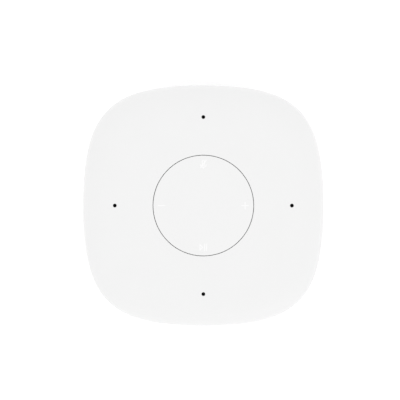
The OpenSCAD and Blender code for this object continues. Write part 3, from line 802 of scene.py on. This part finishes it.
def spring_tab(x, height, down, width=2.2, length=6.5, start=1.2, lift=0.5, sheet=0.25):
    """Sprung finger inside a socket shell, bowed into the opening."""
    loops = []
    steps = 10
    for k in range(steps + 1):
        depth = -start - length * k / steps
        bow = lift * math.sin(math.pi * min(k / steps * 1.25, 1)) ** 1.3 * (-1 if down else 1)
        z0 = height + bow
        loops.append([Vector((x + sx * width / 2, z0 + sz * sheet / 2, depth))
                      for sx, sz in ((-1, -1), (1, -1), (1, 1), (-1, 1))])
    return stitch(loops)


def strips(xs, height, width, length, start, thick=0.1):
    """Row of contact strips on a socket's tongue."""
    return [prism(rounded_box_outline(x, height, width, thick, 0.04, 1), -start - length, -start) for x in xs]


def hdmi_outline(inset):
    w, h = HDMI_W / 2 - inset, HDMI_H - inset
    knee, foot = 2.2 + 0.4 * inset, HDMI_W / 2 - 1.6 - 0.8 * inset
    return fillet([(w, h, 0.7), (-w, h, 0.7), (-w, knee, 0.6),
                   (-foot, inset, 0.6), (foot, inset, 0.6), (w, knee, 0.6)])


def build_hdmi():
    shell = cup(hdmi_outline, 12, 0.45)
    tabs = [spring_tab(x, HDMI_H - 0.62, True) for x in (-3.2, 3.2)]
    tabs += [spring_tab(x, 0.62, False, lift=0.4) for x in (-2.6, 2.6)]
    piece("hdmi_shell", to_rear(gather(shell, *tabs), HDMI_X, SOCKET_Y, BOARD_TOP), "case", "nickel",
          "hdmi_socket")
    tongue = prism(rounded_box_outline(0, 2.9, 11.2, 1.2, 0.2), -9.5, -1, 0.2)
    root = prism(rounded_box_outline(0, 2.9, 11.4, 4.0, 0.3), -11.4, -9)
    piece("hdmi_tongue_moulding", to_rear(gather(tongue, root), HDMI_X, SOCKET_Y, BOARD_TOP), "case",
          "black_plastic", "hdmi_tongue")
    contacts = strips([-4.5 + i for i in range(10)], 3.5, 0.4, 7, 1.5)
    contacts += strips([-4 + i for i in range(9)], 2.3, 0.4, 7, 1.5)
    piece("hdmi_contacts", to_rear(gather(*contacts), HDMI_X, SOCKET_Y, BOARD_TOP), "case", "gold")


def build_usb():
    def outline(inset):
        return rounded_box_outline(0, USB_H / 2, USB_W - 2 * inset, USB_H - 2 * inset, 0.7 - inset / 2)

    shell = cup(outline, 14, 0.4)
    tabs = [spring_tab(x, USB_H - 0.55, True) for x in (-3, 3)]
    tabs += [spring_tab(x, 0.55, False) for x in (-3, 3)]
    piece("usb_shell", to_rear(gather(shell, *tabs), USB_X, SOCKET_Y, BOARD_TOP), "case", "nickel",
          "usb_socket")
    tongue = prism(rounded_box_outline(0, 4.2, 11.2, 1.8, 0.2), -9.5, -1, 0.2)
    root = prism(rounded_box_outline(0, 2.95, 11.6, 4.3, 0.3), -12, -9)
    piece("usb_tongue_moulding", to_rear(gather(tongue, root), USB_X, SOCKET_Y, BOARD_TOP), "case",
          "black_plastic", "usb_tongue")
    contacts = strips([-3.5, -1, 1, 3.5], 3.3, 1.1, 7.5, 1.6)
    piece("usb_contacts", to_rear(gather(*contacts), USB_X, SOCKET_Y, BOARD_TOP), "case", "gold")


def network_opening(grow=0):
    """Plug opening with its stepped latch notch below."""
    g = grow
    right = [(5.95 + g, 10.7 + g), (5.95 + g, 3.9 - g), (3.1 + g, 3.9 - g), (3.1 + g, 2.5 - g),
             (1.7 + g, 2.5 - g), (1.7 + g, 1.2 - g)]
    return [Vector(p) for p in right] + [Vector((-x, y)) for x, y in reversed(right)]


def build_network_socket():
    face = 0.4
    insert = prism(rounded_box_outline(0, NETWORK_H / 2, NETWORK_W - 0.6, NETWORK_H - 0.6, 0.3), -15.8, -face)
    insert = cut(insert, prism(network_opening(), -14, 2))
    soften(insert, 0.12, 2, 60, where=lambda e: all(v.co.z > -face - 0.01 for v in e.verts))
    piece("network_insert", to_rear(insert, NETWORK_X, SOCKET_Y, BOARD_TOP), "case", "black_plastic",
          look=BLACK_PLASTIC)
    shield = prism(rounded_box_outline(0, NETWORK_H / 2, NETWORK_W, NETWORK_H, 0.5), -16, 0, 0.15)
    inside = rounded_box_outline(0, NETWORK_H / 2, NETWORK_W - 0.56, NETWORK_H - 0.56, 0.3)
    hollow = prism(inside, -15.9, -face + 0.02)
    lamps = [prism(rounded_box_outline(x, 1.9, 2.8, 1.5, 0.3), -2, 2) for x in (-5.4, 5.4)]
    shield = cut(cut(shield, hollow), prism(network_opening(0.45), -3, 2), *lamps)
    piece("network_shield", to_rear(shield, NETWORK_X, SOCKET_Y, BOARD_TOP), "case", "nickel",
          "ethernet_socket")
    windows = [prism(rounded_box_outline(x, 1.9, 2.7, 1.4, 0.3), -1.5, -0.05, 0.1) for x in (-5.4, 5.4)]
    piece("link_lights", to_rear(gather(*windows), NETWORK_X, SOCKET_Y, BOARD_TOP), "case", "led")
    wires = []
    for i in range(8):
        x = 1.02 * (i - 3.5)
        path = [(10.55, -1.3), (10.5, -2.2), (10.1, -3.5), (9.3, -7),
                (8.9, -9.5), (9.3, -10.2), (10.6, -10.4)]
        wires.append(stitch([[Vector((x + 0.2 * math.cos(t), h + 0.18 * math.sin(t), d))
                              for t in (math.tau * k / 8 for k in range(8))] for h, d in path]))
    piece("network_contacts", to_rear(gather(*wires), NETWORK_X, SOCKET_Y, BOARD_TOP), "case", "gold",
          "ethernet_contacts")


def round_to_rear(outline, count=64):
    """Turned shape on the power jack's axis from (radius, depth), its mouth at depth 0 facing +Y."""
    solid = turned(lathe(fillet(outline, 4), count=count), -90, "X")
    bmesh.ops.translate(solid, vec=Vector((POWER_X, SOCKET_Y, POWER_Z)), verts=solid.verts)
    return solid


def build_power_jack():
    nose = round_to_rear([(0, -3), (3.8, -3), (3.8, 0, 0.25), (0, 0)])
    hollow = round_to_rear([(0, -10), (3.1, -10), (3.1, -0.3), (3.4, 0), (3.4, 2), (0, 2)])
    body = box((POWER_X - POWER_W / 2, POWER_X + POWER_W / 2), (SOCKET_Y - 14, SOCKET_Y - 1.5),
               (BOARD_TOP, BOARD_TOP + POWER_H), 0.4)
    moulding = cut(combined(body, nose, "UNION"), hollow)
    piece("power_jack_moulding", moulding, "case", "black_plastic", "power_jack")
    pin = round_to_rear([(0, -10), (1, -10), (1, -1, 0.6), (0, -1)], 48)
    piece("power_pin", pin, "case", "nickel", "power_jack_pin")


# ---- Speaker ----


def build_speaker():
    """Cone and dust cap on the diaphragm, and the rolled surround, which stays with the case."""
    flange = corners("speaker_basket")[0].z
    cap = [(0, 2.6), (1.6, 2.75), (3, 3.3), (4.2, 4.4)]
    flare = [(4.6 + 6.9 * u, 4.5 - 4.3 * u**0.85) for u in (0.1, 0.3, 0.5, 0.7, 0.9, 1)]
    back = [(r + 0.5, z + 0.45) for r, z in reversed(flare)]
    back += [(4.9, 5.6), (4, 5.6), (4, 4.9), (2.6, 3.7), (0, 3.1)]
    cone = lathe([(r, flange + z) for r, z in cap + flare + back], 0, SPEAKER_Y)
    piece("cone_pressing", cone, "speaker_diaphragm", "speaker_cone", "speaker_cone")
    turns = [math.pi * k / 12 for k in range(13)]
    roll = [(13.4 - 1.1 * math.cos(t), 1.1 * math.sin(t)) for t in turns]
    under = [(13.4 + 0.8 * math.cos(t), 0.8 * math.sin(t)) for t in turns]
    profile = [(12.0, 0.2)] + roll + [(14.8, 0.2), (14.8, 0)] + under + [(12.0, 0)]
    surround = lathe([(r, flange + z) for r, z in profile], 0, SPEAKER_Y)
    piece("rolled_surround", surround, "case", "black_rubber", "speaker_surround")


# ---- Scene ----


# Camera: width of the view at the middle height, lens and sensor, and offset from the axis, in mm
FRAME_WIDTH = 182.5
LENS = 300
SENSOR = 36
OFFSET_X = -1.53
OFFSET_Y = 2.53
# Light: strength of the sky, watts of the softboxes, and how much the floor glows
SKY_STRENGTH = 1.14
FRONT_WATTS = 1.4
TOP_WATTS = 2.2
FLOOR_GLOW = 0.18
# Drop of the floor below the feet, in metres, so that the two never share a plane
FLOOR_DROP = 0.00002


def build_camera():
    """Straight above the disc, far enough away to be nearly without perspective."""
    data = bpy.data.cameras.new("camera")
    data.lens = LENS
    data.sensor_width = SENSOR
    camera = bpy.data.objects.new("camera", data)
    distance = FRAME_WIDTH * LENS / SENSOR
    camera.location = Vector((OFFSET_X, OFFSET_Y, HALF / 2 + distance)) * MM
    bpy.context.scene.collection.objects.link(camera)
    bpy.context.scene.camera = camera


def soft_light(name, place, size, watts):
    """Square softbox that faces the object."""
    data = bpy.data.lights.new(name, "AREA")
    data.energy = watts
    data.size = size
    light = bpy.data.objects.new(name, data)
    light.location = place
    light.rotation_euler = (-Vector(place)).to_track_quat("-Z", "Y").to_euler()
    bpy.context.scene.collection.objects.link(light)


def build_studio():
    """Lit pale floor under an even white sky, with one softbox in front and one above."""
    floor = bpy.data.objects.new("floor", bpy.data.meshes.new("floor"))
    surface = bmesh.new()
    bmesh.ops.create_circle(surface, cap_ends=True, segments=64, radius=6)
    surface.to_mesh(floor.data)
    surface.free()
    look = Shader("lit floor", (0.90, 0.90, 0.90), 0.8, Emission_Color=(1, 1, 1, 1),
                  Emission_Strength=FLOOR_GLOW)
    look.tint(look.ranged(look.noise(400, 2), 0, 1), (0.91, 0.91, 0.91))
    look.clear_from_behind()
    floor.data.materials.append(look.material)
    floor.location.z = -FLOOR_DROP
    bpy.context.scene.collection.objects.link(floor)

    world = bpy.data.worlds.new("studio")
    world.use_nodes = True
    sky = world.node_tree.nodes["Background"]
    sky.inputs["Color"].default_value = (1, 1, 1, 1)
    sky.inputs["Strength"].default_value = SKY_STRENGTH
    bpy.context.scene.world = world
    soft_light("front softbox", (0.5, -1.3, 1.0), 1.0, FRONT_WATTS)
    soft_light("top softbox", (0, 0.1, 1.9), 1.6, TOP_WATTS)
    bpy.context.scene.view_settings.view_transform = "Standard"


finish_cad_nodes()
build_cover()
build_base()
build_feet()
build_reset_cap()
build_disc()
build_microphone_boots()
build_panel()
build_hdmi()
build_usb()
build_network_socket()
build_power_jack()
build_speaker()
build_studio()
build_camera()
